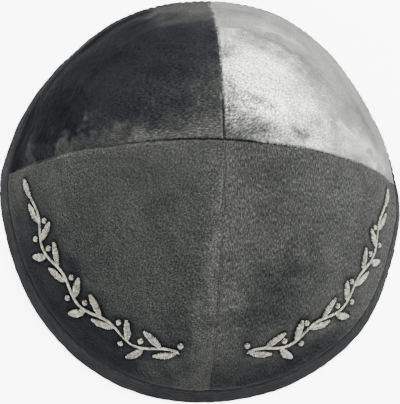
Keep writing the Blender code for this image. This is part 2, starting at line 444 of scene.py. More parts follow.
# The floor and the light
WHITE = (1.0, 1.0, 1.0, 1.0)
FLOOR_REACH = 30.0
FLOOR_DROP = 0.1 * MM
FLOOR_GRAIN = 4.0 * MM
FLOOR_LIGHTNESS = (0.90, 0.96)
FLOOR_ROUGHNESS = 0.9
FLOOR_SPECULAR = 0.1
FLOOR_GLOW = 5.0
AIR_STRENGTH = 1.65
BACKDROP_STRENGTH = 7.5
LIGHT_UPWARD = (0.0, 1.0, 0.01)
LIGHTS = (
    {"name": "key", "place": (0.35, 0.45, 1.1), "size": 0.9, "power": 51.0},
    {"name": "fill", "place": (-0.5, -0.5, 0.9), "size": 1.2, "power": 7.5},
)

# Worked out from the sizes above
MEAN_RADIUS = (RIM_WIDTH + RIM_LENGTH) / 4
OVAL_REACH = (RIM_WIDTH - RIM_LENGTH) / 4
WALL_POWER = 2 / WALL_EXPONENT
WALL_START_SHARE = math.sin(WALL_START_ANGLE) ** WALL_POWER
BINDING_OUTSIDE = BINDING_SIDE_GAP + BINDING_THICKNESS
BINDING_INSIDE = -PANEL_THICKNESS - BINDING_SIDE_GAP - BINDING_THICKNESS

# The dome and noise


def smooth_step(share):
    """0 below 0, 1 above 1 and a soft rise between them."""
    share = np.clip(share, 0.0, 1.0)
    return share * share * (3 - 2 * share)


def bell(away, half_width, power=2):
    """1 in the middle and next to 0 well past the half width. A larger power falls more sharply."""
    return np.exp(-(np.abs(away / half_width) ** power))


def rim_bell(azimuth, stretch, power=2):
    """1 in the middle of a stretch of the rim and next to 0 well away from it."""
    away = (np.degrees(azimuth) - stretch.azimuth_deg + 180) % 360 - 180
    return bell(away, stretch.half_deg, power)


def pairs(first, second):
    """Each value of one array beside that of the other."""
    return np.stack(np.broadcast_arrays(first, second), axis=-1)


def unit(vectors):
    """Vectors in the same directions with a length of 1."""
    return vectors / np.linalg.norm(vectors, axis=-1, keepdims=True)


def rim_sway(azimuth):
    """How far the rim stands out from a circle of the mean radius at this azimuth."""
    reach = OVAL_REACH * np.cos(2 * azimuth)
    for sway in RIM_SWAYS:
        reach = reach + MEAN_RADIUS * sway.amount * rim_bell(azimuth, sway)
    return reach


def wall_place(azimuth, turn):
    """Distance from the crown's axis and height of the wall at this turn."""
    radius_share = (np.maximum(np.cos(turn), 0.0) / math.cos(WALL_START_ANGLE)) ** WALL_POWER
    height_share = (np.sin(turn) ** WALL_POWER - WALL_START_SHARE) / (1 - WALL_START_SHARE)
    radius = radius_share * (MEAN_RADIUS + (1 - height_share) * rim_sway(azimuth))
    return radius, height_share * CROWN_HEIGHT


def wall_slope(azimuth, turn):
    """Unit run and rise of the meridian at this turn."""
    step = 1e-4
    low_radius, low_height = wall_place(azimuth, turn - step)
    high_radius, high_height = wall_place(azimuth, np.minimum(turn + step, QUARTER))
    run = high_radius - low_radius
    rise = high_height - low_height
    length = np.hypot(run, rise)
    return run / length, rise / length


def arc_table():
    """Turns from the rim to the crown, with the arc up the mean meridian and the radius at each."""
    turns = np.linspace(WALL_START_ANGLE, QUARTER, ARC_TABLE_POINTS)
    height_share = (np.sin(turns) ** WALL_POWER - WALL_START_SHARE) / (1 - WALL_START_SHARE)
    radius = (np.cos(turns) / math.cos(WALL_START_ANGLE)) ** WALL_POWER * MEAN_RADIUS
    radius[-1] = 0.0
    steps = np.hypot(np.diff(radius), np.diff(height_share * CROWN_HEIGHT))
    return turns, np.concatenate([[0.0], np.cumsum(steps)]), radius


TURN_TABLE, ARC_TABLE, RADIUS_TABLE = arc_table()
CROWN_ARC = ARC_TABLE[-1]


def turn_at(arc):
    """The wall's turn at this arc."""
    return np.interp(arc, ARC_TABLE, TURN_TABLE)


def radius_at(arc):
    """The mean distance from the crown's axis at this arc."""
    return np.interp(arc, ARC_TABLE, RADIUS_TABLE)


def turn_at_height(height):
    """The turn at which the wall has this height."""
    rise = WALL_START_SHARE + (1 - WALL_START_SHARE) * height / CROWN_HEIGHT
    return np.arcsin(rise ** (1 / WALL_POWER))


def arc_at_height(height):
    """The arc at which the wall has this height."""
    return np.interp(turn_at_height(height), TURN_TABLE, ARC_TABLE)


def crown_axis():
    """Where the crown's axis stands, which is where the four panels meet."""
    _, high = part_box("panel_front_left")
    return high.x + SEAM_GAP / 2, high.y + SEAM_GAP / 2


AXIS_X, AXIS_Y = crown_axis()


def around(radius, azimuth, height):
    """Points at these distances from the crown's axis."""
    x = AXIS_X + radius * np.cos(azimuth)
    y = AXIS_Y + radius * np.sin(azimuth)
    return np.stack(np.broadcast_arrays(x, y, height), axis=-1)


def dome_normal(azimuth, arc):
    """Outward direction of the velvet."""
    run, rise = wall_slope(azimuth, turn_at(arc))
    return np.stack([rise * np.cos(azimuth), rise * np.sin(azimuth), -run], axis=-1)


def dome_point(azimuth, arc, outward):
    """A point of the velvet's surface, moved outward square to it."""
    azimuth, arc, outward = np.broadcast_arrays(azimuth, arc, outward)
    radius, height = wall_place(azimuth, turn_at(arc))
    return around(radius, azimuth, height) + outward[..., None] * dome_normal(azimuth, arc)


def wave_noise(points, length, seed):
    """Smooth noise about 0 with a spread of 1, as a sum of plane waves in seeded directions."""
    random = np.random.default_rng(seed)
    directions = unit(random.normal(size=(NOISE_WAVES, 3)))
    lengths = length * random.uniform(*NOISE_LENGTHS, NOISE_WAVES)
    phases = random.uniform(0, 2 * math.pi, NOISE_WAVES)
    turns = points @ (directions * (2 * math.pi / lengths)[:, None]).T + phases
    return np.cos(turns).sum(axis=-1) / math.sqrt(NOISE_WAVES / 2)


def waves_at(points, waves):
    """How far these waves stand out at each point."""
    return waves.depth * wave_noise(points, waves.length, waves.seed)


# Meshes and pieces


def make_mesh(name, points, faces, materials, face_materials=None):
    """A smooth-shaded mesh from numpy points."""
    mesh = bpy.data.meshes.new(name)
    mesh.from_pydata(points.reshape(-1, 3).tolist(), [], faces)
    for material in materials:
        mesh.materials.append(material)
    if face_materials is not None:
        mesh.polygons.foreach_set("material_index", face_materials)
    mesh.shade_smooth()
    mesh.update()
    return mesh


def make_piece(name, mesh, replaced=None):
    """The mesh as a piece of the cap."""
    piece = bpy.data.objects.new(name, mesh)
    bpy.context.scene.collection.objects.link(piece)
    if replaced:
        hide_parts(replaced)
    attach(piece, "root")
    return piece


def add_values(mesh, name, values):
    """A value for each vertex."""
    attribute = mesh.attributes.new(name, "FLOAT", "POINT")
    attribute.data.foreach_set("value", np.asarray(values, np.float32).ravel())


def add_cloth_map(mesh, places):
    """Lays each vertex out flat, by its arcs along and up the cloth in metres."""
    layer = mesh.uv_layers.new(name="cloth")
    corners = np.zeros(len(mesh.loops), np.int32)
    mesh.loops.foreach_get("vertex_index", corners)
    layer.data.foreach_set("uv", places.reshape(-1, 2)[corners].astype(np.float32).ravel())


# Materials


def add_node(material, kind, settings=None, **inputs):
    """A node with these settings and input values or links, each by its name or by i and its number."""
    tree = material.node_tree
    node = tree.nodes.new("ShaderNode" + kind)
    for key, value in (settings or {}).items():
        setattr(node, key, value)
    for key, value in inputs.items():
        socket = node.inputs[int(key[1:])] if key[1:].isdigit() else node.inputs[key.replace("_", " ")]
        if isinstance(value, bpy.types.NodeSocket):
            tree.links.new(value, socket)
        else:
            socket.default_value = value
    return node


def calculate(material, operation, first, second=0.0):
    """A Math node's result."""
    return add_node(material, "Math", {"operation": operation}, i0=first, i1=second).outputs[0]


def product(material, first, *others):
    """Values multiplied together."""
    for other in others:
        first = calculate(material, "MULTIPLY", first, other)
    return first


def spread(material, value, ends):
    """A value between 0 and 1 stretched to lie between these two ends."""
    low, high = ends
    return add_node(material, "MapRange", Value=value, To_Min=low, To_Max=high).outputs["Result"]


def mesh_value(material, name):
    """A value that the mesh gives for each vertex."""
    return add_node(material, "Attribute", {"attribute_name": name}).outputs["Fac"]


def new_material(name):
    """A material with nodes."""
    material = bpy.data.materials.new(name)
    material.use_nodes = True
    return material


def shader_inputs(material):
    """The inputs of the material's shader."""
    return material.node_tree.nodes["Principled BSDF"].inputs


def link(material, source, target):
    """A link between two sockets of the material."""
    material.node_tree.links.new(source, target)


def cloth_place(material, across, along):
    """Cloth coordinates in which features this long across and along it are one unit."""
    laid = add_node(material, "UVMap", {"uv_map": "cloth"})
    scale = (1 / across, 1 / along, 1.0)
    return add_node(material, "Mapping", Vector=laid.outputs["UV"], Scale=scale).outputs["Vector"]


def noise(material, place, detail, scale=1.0, roughness=0.6, distortion=0.0):
    """Noise between 0 and 1 at this place."""
    node = add_node(material, "TexNoise", Vector=place, Detail=detail, Scale=scale)
    node.inputs["Roughness"].default_value = roughness
    node.inputs["Distortion"].default_value = distortion
    return node.outputs["Fac"]


def solid_noise(material, length, detail, **looks):
    """Noise between 0 and 1 through the piece's own space, with features about this long."""
    solid = add_node(material, "TexCoord").outputs["Object"]
    return noise(material, solid, detail, 1 / length, **looks)


def weave(material, pitch):
    """Height of a plain weave with this thread pitch, between 0 and 1."""
    place = add_node(material, "SeparateXYZ", Vector=cloth_place(material, pitch, pitch))
    across = calculate(material, "MULTIPLY", place.outputs["X"], math.pi)
    along = calculate(material, "MULTIPLY", place.outputs["Y"], math.pi)
    crossing = product(material, calculate(material, "SINE", across), calculate(material, "SINE", along))
    return calculate(material, "ABSOLUTE", crossing)


def tinted(material, lightness, look):
    """Colour of a grey lightness, with its own tint where it is dark and where it is light."""
    share = add_node(material, "MapRange", Value=lightness, From_Max=look.tint_reach).outputs["Result"]
    ends = {"i6": (*look.dark_tint, 1.0), "i7": (*look.light_tint, 1.0)}
    tint = add_node(material, "Mix", {"data_type": "RGBA"}, Factor=share, **ends)
    scaled = add_node(material, "VectorMath", {"operation": "SCALE"}, i0=tint.outputs[2], Scale=lightness)
    return scaled.outputs["Vector"]


def finish_material(material, look, lightness, roughness, relief):
    """Colour, roughness, bump and shine of the shader."""
    inputs = shader_inputs(material)
    link(material, tinted(material, lightness, look), inputs["Base Color"])
    link(material, spread(material, roughness, look.roughness), inputs["Roughness"])
    bump = add_node(material, "Bump", Height=relief, Strength=look.bump, Distance=look.bump_depth)
    link(material, bump.outputs["Normal"], inputs["Normal"])
    inputs["Specular IOR Level"].default_value = look.specular
    inputs["Sheen Weight"].default_value = look.sheen


def velvet_material():
    """Pile velvet: lightness from the pile value, which is the pile's brushed tone together with
    painted sheen, highlights and shade of the nap, with streaky grain along the nap.
    """
    material = new_material("velvet")
    streaks = noise(material, cloth_place(material, NAP_WIDTH, NAP_STREAK), detail=1.0)
    specks = solid_noise(material, NAP_SPECK, detail=1.0)
    clouds = solid_noise(material, VELVET_CLOUD, detail=5.0, roughness=0.62, distortion=0.8)
    long_grain = spread(material, streaks, NAP_STREAK_SPREAD)
    round_grain = spread(material, specks, NAP_SPECK_SPREAD)
    grain = calculate(material, "ADD", long_grain, round_grain)
    grain = calculate(material, "EXPONENT", product(material, grain, mesh_value(material, "grain")))
    cloud = spread(material, clouds, VELVET_CLOUD_SPREAD)
    # The pile value carries painted sheen, highlights and shade as well as the pile's own tone
    lightness = product(material, mesh_value(material, "pile"), grain, cloud)
    lightness = calculate(material, "MINIMUM", lightness, VELVET_LIGHTEST)
    relief = calculate(material, "ADD", streaks, specks)
    finish_material(material, LOOKS["velvet"], lightness, specks, relief)
    shader_inputs(material)["Sheen Roughness"].default_value = VELVET_SHEEN_ROUGHNESS
    return material


def backing_material():
    """The plain woven back of the velvet, which is the inside of the cap."""
    material = new_material("velvet_backing")
    threads = weave(material, BACKING_PITCH)
    clouds = solid_noise(material, BACKING_CLOUD, detail=4.0)
    cloud = spread(material, clouds, BACKING_CLOUD_SPREAD)
    lightness = product(material, spread(material, threads, BACKING_THREAD_SPREAD), cloud)
    finish_material(material, LOOKS["velvet_backing"], lightness, clouds, threads)
    return material


def binding_material():
    """Ribbed binding tape, paler on its ribs and along its upper edge, partly where it is rubbed and
    partly as painted highlight.
    """
    material = new_material("binding_cloth")
    slubs = noise(material, cloth_place(material, SLUB_LENGTH, SLUB_WIDTH), detail=3.0)
    clouds = solid_noise(material, BINDING_CLOUD, detail=4.0)
    threads = weave(material, BINDING_PITCH)
    lightness = product(
        material,
        mesh_value(material, "wear_and_sheen"),
        spread(material, slubs, SLUB_SPREAD),
        spread(material, clouds, BINDING_CLOUD_SPREAD),
        spread(material, threads, BINDING_THREAD_SPREAD),
    )
    relief = calculate(material, "ADD", threads, slubs)
    finish_material(material, LOOKS["binding_cloth"], lightness, slubs, relief)
    return material


def thread_material(name):
    """Twisted thread, whose plies run slantwise round it."""
    material = new_material(name)
    place = add_node(material, "SeparateXYZ", Vector=cloth_place(material, PLY_PITCH, PLY_PITCH))
    slant = calculate(material, "ADD", place.outputs["X"], place.outputs["Y"])
    wave = calculate(material, "SINE", calculate(material, "MULTIPLY", slant, 2 * math.pi))
    plies = add_node(material, "MapRange", Value=wave, From_Min=-1.0).outputs["Result"]
    mottle = solid_noise(material, MOTTLE_LENGTH, detail=2.0)
    lightness = product(
        material,
        mesh_value(material, "shade"),
        spread(material, plies, PLY_SPREAD),
        spread(material, mottle, MOTTLE_SPREAD),
    )
    lightness = calculate(material, "MAXIMUM", lightness, THREAD_DARKEST)
    finish_material(material, LOOKS[name], lightness, plies, plies)
    return material


# Stitches


def threads_between(starts, ends, rises, shades):
    """Threads between places on the cloth, each an (azimuth, arc) pair."""
    return {
        "starts": np.asarray(starts, float).reshape(-1, 2),
        "ends": np.asarray(ends, float).reshape(-1, 2),
        "rises": np.asarray(rises, float).ravel(),
        "shades": np.asarray(shades, float).ravel(),
    }


def thread_lines(threads, base):
    """Points along each thread, which arches over the cloth, and the outward direction there."""
    share = np.linspace(0, 1, THREAD_POINTS)
    places = threads["starts"][:, None] + (threads["ends"] - threads["starts"])[:, None] * share[:, None]
    arch = (4 * share * (1 - share)) ** THREAD_ARCH_POWER
    outward = base + threads["rises"][:, None] * arch
    points = dome_point(places[..., 0], places[..., 1], outward)
    return points, dome_normal(places[..., 0], places[..., 1])


def thread_mesh(name, threads, base, radius, material):
    """All the threads as one mesh of small tubes."""
    points, outward = thread_lines(threads, base)
    along = unit(np.gradient(points, axis=1))
    side = unit(np.cross(along, outward))
    lift = np.cross(side, along)
    angles = np.arange(THREAD_SIDES) * 2 * math.pi / THREAD_SIDES
    taper = np.ones(THREAD_POINTS)
    taper[[0, -1]] = THREAD_END_SHARE
    reach = radius * taper[None, :, None, None]
    rings = points[:, :, None] + reach * (
        np.cos(angles)[:, None] * side[:, :, None] + np.sin(angles)[:, None] * lift[:, :, None]
    )
    count = len(points)
    ring = np.arange(count * THREAD_POINTS * THREAD_SIDES).reshape(count, THREAD_POINTS, THREAD_SIDES)
    after = np.roll(ring, -1, axis=2)
    quads = np.stack([ring[:, :-1], ring[:, 1:], after[:, 1:], after[:, :-1]], axis=-1).reshape(-1, 4)
    caps = np.concatenate([ring[:, 0], ring[:, -1, ::-1]]).tolist()
    mesh = make_mesh(name, rings, quads.tolist() + caps, [material])
    add_values(mesh, "shade", np.repeat(threads["shades"], THREAD_POINTS * THREAD_SIDES))
    lengths = np.linalg.norm(points[:, -1] - points[:, 0], axis=-1)
    run = lengths[:, None, None] * np.linspace(0, 1, THREAD_POINTS)[:, None]
    turn = np.broadcast_to(angles * radius, ring.shape)
    add_cloth_map(mesh, pairs(run, turn))
    return mesh


def joined(groups):
    """Several groups of threads as one."""
    return {key: np.concatenate([group[key] for group in groups]) for key in groups[0]}


def vine_place(along):
    """The vine's middle line, as arcs along and up the cloth."""
    wave = VINE_WAVE_REACH * np.sin(2 * math.pi * along / VINE_WAVE_LENGTH)
    return pairs(along, GARLAND_ARC + wave)


def vine_heading(along):
    """The angle at which the vine climbs."""
    turns = 2 * math.pi / VINE_WAVE_LENGTH
    return np.arctan(VINE_WAVE_REACH * turns * np.cos(turns * along))


def turned(vectors, angle):
    """Vectors on the cloth turned by this angle."""
    x, y = vectors[..., 0], vectors[..., 1]
    cos, sin = np.cos(angle), np.sin(angle)
    return pairs(x * cos - y * sin, x * sin + y * cos)


def vine_stitches(low, high):
    """Short slanting stitches that overlap along the vine."""
    along = np.arange(low, high, VINE_STITCH_STEP)
    heading = vine_heading(along)
    middle = vine_place(along)
    back = turned(np.array([-VINE_STITCH_LENGTH / 2, -VINE_HALF_WIDTH]), heading)
    ahead = turned(np.array([VINE_STITCH_LENGTH / 2, VINE_HALF_WIDTH]), heading)
    return middle + back, middle + ahead


def leaf_stitches(foot, heading, bend, random):
    """Satin stitches from a leaf's midrib out to both edges, slanting towards its tip."""
    run = np.arange(LEAF_START_SHARE, 1.0, LEAF_STITCH_STEP / LEAF_LENGTH)
    fullness = (4 * run * (1 - run)) ** LEAF_FULLNESS
    half_width = LEAF_HALF_WIDTH * fullness * (LEAF_FOOT_WIDTH + (LEAF_TIP_WIDTH - LEAF_FOOT_WIDTH) * run)
    rib = LEAF_LENGTH * pairs(run, bend * run * run)
    ahead = unit(pairs(1.0, 2 * bend * run))
    slant = ahead * (LEAF_STITCH_SLANT * half_width / LEAF_HALF_WIDTH)[:, None]
    starts = []
    ends = []
    for side in (-1, 1):
        uneven = random.uniform(1 - LEAF_STITCH_UNEVENNESS, 1 + LEAF_STITCH_UNEVENNESS, len(run))
        out = turned(ahead, side * QUARTER) * (half_width * uneven)[:, None]
        starts.append(foot + turned(rib, heading))
        ends.append(foot + turned(rib + slant + out, heading))
    return np.concatenate(starts), np.concatenate(ends)


def berry_stitches(middle):
    """Stitches side by side across a small round."""
    offsets = np.arange(-BERRY_RADIUS, BERRY_RADIUS, LEAF_STITCH_STEP) + LEAF_STITCH_STEP / 4
    shortest = BERRY_SHORTEST_SHARE * BERRY_RADIUS
    reach = np.sqrt(np.maximum(BERRY_RADIUS ** 2 - offsets ** 2, shortest ** 2))
    return middle + pairs(-reach, offsets), middle + pairs(reach, offsets)


def garland_threads(span, seed):
    """The vine with its leaves and berries, between two azimuths."""
    random = np.random.default_rng(seed)
    band_radius = radius_at(GARLAND_ARC)
    turn = math.radians(span["to_deg"] - span["from_deg"])
    length = abs(turn) * band_radius
    vine_end = length - LEAF_SPACING / 2
    vine = vine_stitches(LEAF_SPACING / 2, vine_end)
    groups = [vine, leaf_stitches(vine_place(vine_end), vine_heading(vine_end), 0.0, random)]
    for number in range(int(length / LEAF_SPACING) - 1):
        along = LEAF_SPACING * (number + 0.5)
        side = 1 if number % 2 else -1
        tilt = LEAF_TILT + random.uniform(-LEAF_TILT_SPREAD, LEAF_TILT_SPREAD)
        leaf_heading = vine_heading(along) + side * tilt
        groups.append(leaf_stitches(vine_place(along), leaf_heading, -LEAF_BEND * side, random))
        berry_heading = vine_heading(along) - side * BERRY_TILT
        stalk = BERRY_REACH * np.array([math.cos(berry_heading), math.sin(berry_heading)])
        groups.append(berry_stitches(vine_place(along) + stalk))
    starts = np.concatenate([start for start, _ in groups])
    ends = np.concatenate([end for _, end in groups])
    rises = THREAD_RISE + THREAD_RISE_SHARE * np.linalg.norm(ends - starts, axis=-1)
    rises[: len(vine[0])] = THREAD_RISE
    for places in (starts, ends):
        places[:, 0] = math.radians(span["from_deg"]) + math.copysign(1, turn) * places[:, 0] / band_radius
    shades = random.uniform(*GARLAND_SHADES, len(starts))
    return threads_between(starts, ends, rises, shades)


def seam_threads(quarter, seed):
    """Stitches one after another along a seam, from the binding to the crown."""
    seam = SEAMS[quarter]
    random = np.random.default_rng(seed)
    low = BINDING_HEIGHT + SEAM_STITCH_START
    arcs = np.arange(low, CROWN_ARC - SEAM_STITCH_LENGTH, SEAM_STITCH_SPACING)
    starts = pairs(quarter * QUARTER, arcs)
    ends = starts + np.array([0.0, SEAM_STITCH_LENGTH])
    crease = SEAM_FOLD_DEPTH * seam.depth * seam_openness(arcs, seam.opens_from)
    sunk = SEAM_ROLL_DEPTH + SEAM_STITCH_SUNK_SHARE * crease
    # Each seam's stitches are painted lighter or darker as the same thread looks lit there
    shades = seam.stitches * random.uniform(*SEAM_STITCH_SHADES, len(arcs))
    return threads_between(starts, ends, SEAM_STITCH_RISE - sunk, shades)


def fuzz_threads(seam, seed):
    """Pile fibres that lean across a seam."""
    random = np.random.default_rng(seed)
    count = seam["count"]
    middle = seam["quarter"] * QUARTER
    arcs = CROWN_ARC * random.uniform(seam["from_share"], seam["to_share"], count)
    radius = radius_at(arcs)
    root = -seam["towards"] * FUZZ_ROOT * random.uniform(*FUZZ_ROOT_SHARES, count)
    reach = seam["towards"] * FUZZ_REACH * random.uniform(*FUZZ_REACH_SHARES, count)
    lean = FUZZ_LEAN * random.uniform(-1.0, 1.0, count)
    # Painted as light as the painted sheen of the panel they lean out of
    shades = FUZZ_SHEEN_LIGHTNESS * random.uniform(*FUZZ_SHADES, count)
    rises = FUZZ_RISE * random.uniform(*FUZZ_RISE_SHARES, count)
    starts = pairs(middle + root / radius, arcs)
    ends = pairs(middle + reach / radius, arcs + lean)
    return threads_between(starts, ends, rises, shades)


def hem_threads(seed):
    """Stitches one after another round the binding, a little below its top."""
    random = np.random.default_rng(seed)
    count = round(2 * math.pi * MEAN_RADIUS / HEM_STITCH_SPACING)
    azimuth = np.arange(count) * 2 * math.pi / count
    arc = arc_at_height(BINDING_HEIGHT - HEM_STITCH_DROP)
    starts = pairs(azimuth, arc)
    ends = starts + np.array([HEM_STITCH_LENGTH / MEAN_RADIUS, 0.0])
    rises = np.full(count, HEM_STITCH_RISE)
    return threads_between(starts, ends, rises, random.uniform(*HEM_STITCH_SHADES, count))


# Panels


def seam_lean(azimuth, arc):
    """Distance from the nearest seam, positive on the side of larger azimuths."""
    seam = np.round(azimuth / QUARTER)
    return radius_at(arc) * (azimuth - seam * QUARTER)


def nearest_seam(panel, to_seam):
    """The values of the seam that each point is nearest to."""
    first = SEAMS[panel.quarter]
    last = SEAMS[(panel.quarter + 1) % len(SEAMS)]
    return Seam(*(np.where(to_seam > 0, *values) for values in zip(first, last)))


def panel_places(quarter):
    """Azimuth and arc of each point of a panel's grid, with columns closer beside the seams."""
    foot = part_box("panel_front_left")[0].z + PANEL_FOOT_RISE
    arcs = np.linspace(arc_at_height(foot), CROWN_ARC - CROWN_OPENING, PANEL_ROWS + 1)
    radius = np.maximum(radius_at(arcs), CROWN_OPENING)
    panel_arc = radius * QUARTER
    edge = np.minimum(SEAM_EDGE_GAP, panel_arc * EDGE_LARGEST_SHARE)
    roll = np.minimum(SEAM_ROLL_WIDTH, panel_arc * ROLL_LARGEST_SHARE)
    share = (np.arange(SEAM_COLUMNS) / SEAM_COLUMNS) ** SEAM_COLUMN_CROWDING
    beside = edge[:, None] + (roll - edge)[:, None] * share
    middle_count = PANEL_COLUMNS - 2 * SEAM_COLUMNS
    middle = roll[:, None] + (panel_arc - 2 * roll)[:, None] * np.arange(middle_count + 1) / middle_count
    across = np.concatenate([beside, middle, panel_arc[:, None] - beside[:, ::-1]], axis=1)
    azimuth = quarter * QUARTER + across / radius[:, None]
    return azimuth, np.broadcast_to(arcs[:, None], azimuth.shape)


def seam_openness(arc, opens_from):
    """How open a seam's crease is: shut near the rim and open near the crown."""
    up = smooth_step((arc / CROWN_ARC - opens_from) / SEAM_OPENS_OVER)
    return SEAM_SHARE_SHUT + (1 - SEAM_SHARE_SHUT) * up


def seam_depth(panel, to_seam, arc):
    """How deep the velvet rolls under beside a seam."""
    seam = nearest_seam(panel, to_seam)
    fold = SEAM_FOLD_DEPTH * seam.depth * bell(to_seam, SEAM_FOLD_WIDTH, SEAM_FOLD_POWER)
    fold = fold * seam_openness(arc, seam.opens_from)
    roll = SEAM_ROLL_DEPTH * bell(to_seam, SEAM_ROLL_WIDTH)
    above_binding = smooth_step((arc - BINDING_HEIGHT) / SEAM_DEEPENS_OVER)
    return (fold + roll) * (SEAM_SHARE_AT_BINDING + (1 - SEAM_SHARE_AT_BINDING) * above_binding)


def swell_depth(azimuth):
    """How far the velvet puffs out just above the binding."""
    depth = np.zeros(azimuth.shape)
    for swell in SWELLS:
        depth += swell.amount * rim_bell(azimuth, swell, SWELL_POWER)
    return depth


def panel_relief(panel, azimuth, arc, points, nearness):
    """How far the velvet stands out from the plain dome."""
    to_seam = seam_lean(azimuth, arc)
    above = arc - BINDING_HEIGHT
    swell = swell_depth(azimuth) * bell(above - SWELL_ABOVE_BINDING, SWELL_HALF_HEIGHT)
    edge = above + SWELL_STARTS_BELOW + waves_at(points, SWELL_RUFFLE)
    swell = swell * smooth_step(edge / SWELL_GROWS_OVER)
    freedom = smooth_step((above - SLACK_STARTS_ABOVE) / SLACK_GROWS_OVER)
    slack = waves_at(points, SLACK) * freedom
    pucker = waves_at(points, PUCKER) * freedom * bell(to_seam, PUCKER_REACH)
    raised = swell + slack + pucker + waves_at(points, CLUMPS)
    return raised - seam_depth(panel, to_seam, arc) - PRESSED_DEPTH * nearness


def patch_gain(patches, azimuth, arc, points):
    """How much these patches multiply by at each point, with wandering borders."""
    degrees = np.degrees(azimuth)
    up = arc / CROWN_ARC
    for number, wander in enumerate(PATCH_WANDERS):
        drift = wave_noise(points, wander["length"], WANDER_SEED + number)
        degrees = degrees + wander["degrees"] * drift
        up = up + wander["up"] * drift
    gain = np.ones(azimuth.shape)
    for patch in patches:
        aside = bell(degrees - patch.azimuth_deg, patch.half_deg, patch.edge)
        away = bell(up - patch.up, patch.half_up, patch.edge)
        gain = gain * patch.gain ** (aside * away)
    return gain


def pile_tone_and_painted_light(panel, azimuth, arc, points, nearness):
    """How light the pile is painted at each point: its brushed tone with painted sheen and shade of the
    nap, painted shade in the seams' creases, painted highlights on their lips, painted shadow just
    above the binding, and pressed, painted-shaded pile beside the garland.
    """
    # Painted sheen and shade of the nap, with the pile's brushed tone, by panel and patch
    light = panel.lightness * patch_gain(PILE_TONE_AND_SHEEN_PATCHES[panel.quarter], azimuth, arc, points)
    to_seam = seam_lean(azimuth, arc)
    seam = nearest_seam(panel, to_seam)
    # Painted shade in the seam's crease
    crease = seam.crease * seam_openness(arc, seam.opens_from)
    light = light * (1 - crease * bell(to_seam, CREASE_SHADE_HALF_WIDTH))
    uneven = np.clip(waves_at(points, LIP_UNEVENNESS), -LIP_UNEVENNESS_LIMIT, LIP_UNEVENNESS_LIMIT)
    uneven = 1 - LIP_UNEVENNESS.depth + uneven
    # Painted highlight on the lips beside the seam
    lip_highlight = np.where(to_seam > 0, seam.lip_after, seam.lip_before)
    light = light * lip_highlight ** (uneven * bell(np.abs(to_seam) - LIP_HIGHLIGHT_PLACE, LIP_HIGHLIGHT_HALF_WIDTH))
    # Painted shadow of the pile just above the binding
    above_hem = arc - BINDING_HEIGHT - HEM_PILE_PLACE
    light = light * HEM_PILE_GAIN ** (uneven * bell(above_hem, HEM_PILE_HALF_WIDTH))
    # Pressed pile and painted shade beside the garland
    return light * (1 - PRESSED_DARKENING_AND_SHADE * nearness)


def laid_flat(panel, azimuth, arc):
    """Where each point lies when the panel is laid flat, with the nap along the second arc.

    The second arc is drawn in or out so that the same grain gives this panel's streaks.
    """
    reach = CROWN_ARC - arc
    turn = azimuth - math.radians(panel.nap_deg)
    along = reach * np.cos(turn) * NAP_STREAK / panel.streak
    return pairs(reach * np.sin(turn), along)


def nearness_to(tree, points):
    """1 at the stitches and 0 well away from them."""
    if tree is None:
        return np.zeros(points.shape[:-1])
    away = np.array([tree.find(point)[2] for point in points.reshape(-1, 3)])
    return bell(away, PRESSED_REACH).reshape(points.shape[:-1])


def coarse(grid):
    """The points of a fine grid that the inside has too."""
    return grid[::INSIDE_STEP, ::INSIDE_STEP]


def with_inside(grid):
    """Values of the fine outside, followed by those of the coarser inside."""
    return np.concatenate([part.reshape(-1, *grid.shape[2:]) for part in (grid, coarse(grid))])


def quads(grid):
    """Faces between the neighbours of a grid of vertices."""
    corners = (grid[:-1, :-1], grid[:-1, 1:], grid[1:, 1:], grid[1:, :-1])
    return np.stack(corners, axis=-1).reshape(-1, 4)


def panel_faces(rows, columns):
    """Faces of a wall with a fine outside, a coarser inside and edges that join the two."""
    fine = np.arange((rows + 1) * (columns + 1)).reshape(rows + 1, columns + 1)
    inside = fine.size + np.arange(coarse(fine).size).reshape(coarse(fine).shape)
    outer = quads(fine).tolist()
    inner = quads(inside)[:, ::-1].tolist()
    edges = []
    borders = (
        (fine[0], inside[0]),
        (fine[:, -1], inside[:, -1]),
        (fine[-1, ::-1], inside[-1, ::-1]),
        (fine[::-1, 0], inside[::-1, 0]),
    )
    for fine_border, border in borders:
        for number in range(len(border) - 1):
            first = number * INSIDE_STEP
            strip = fine_border[first : first + INSIDE_STEP + 1]
            edges.append(strip[::-1].tolist() + border[number : number + 2].tolist())
    face_materials = [0] * len(outer) + [1] * len(inner) + [0] * len(edges)
    return outer + inner + edges, face_materials


def inside_points(azimuth, arc):
    """The panel's inside, with a flat strip of tape along each seam."""
    to_seam = np.abs(seam_lean(azimuth, arc))
    tape = SEAM_TAPE_THICKNESS * (1 - smooth_step((to_seam - SEAM_TAPE_HALF_WIDTH) / SEAM_TAPE_EDGE))
    tape = tape * smooth_step((arc - BINDING_HEIGHT) / SEAM_TAPE_STARTS_OVER)
    return dome_point(azimuth, arc, -PANEL_THICKNESS - tape)


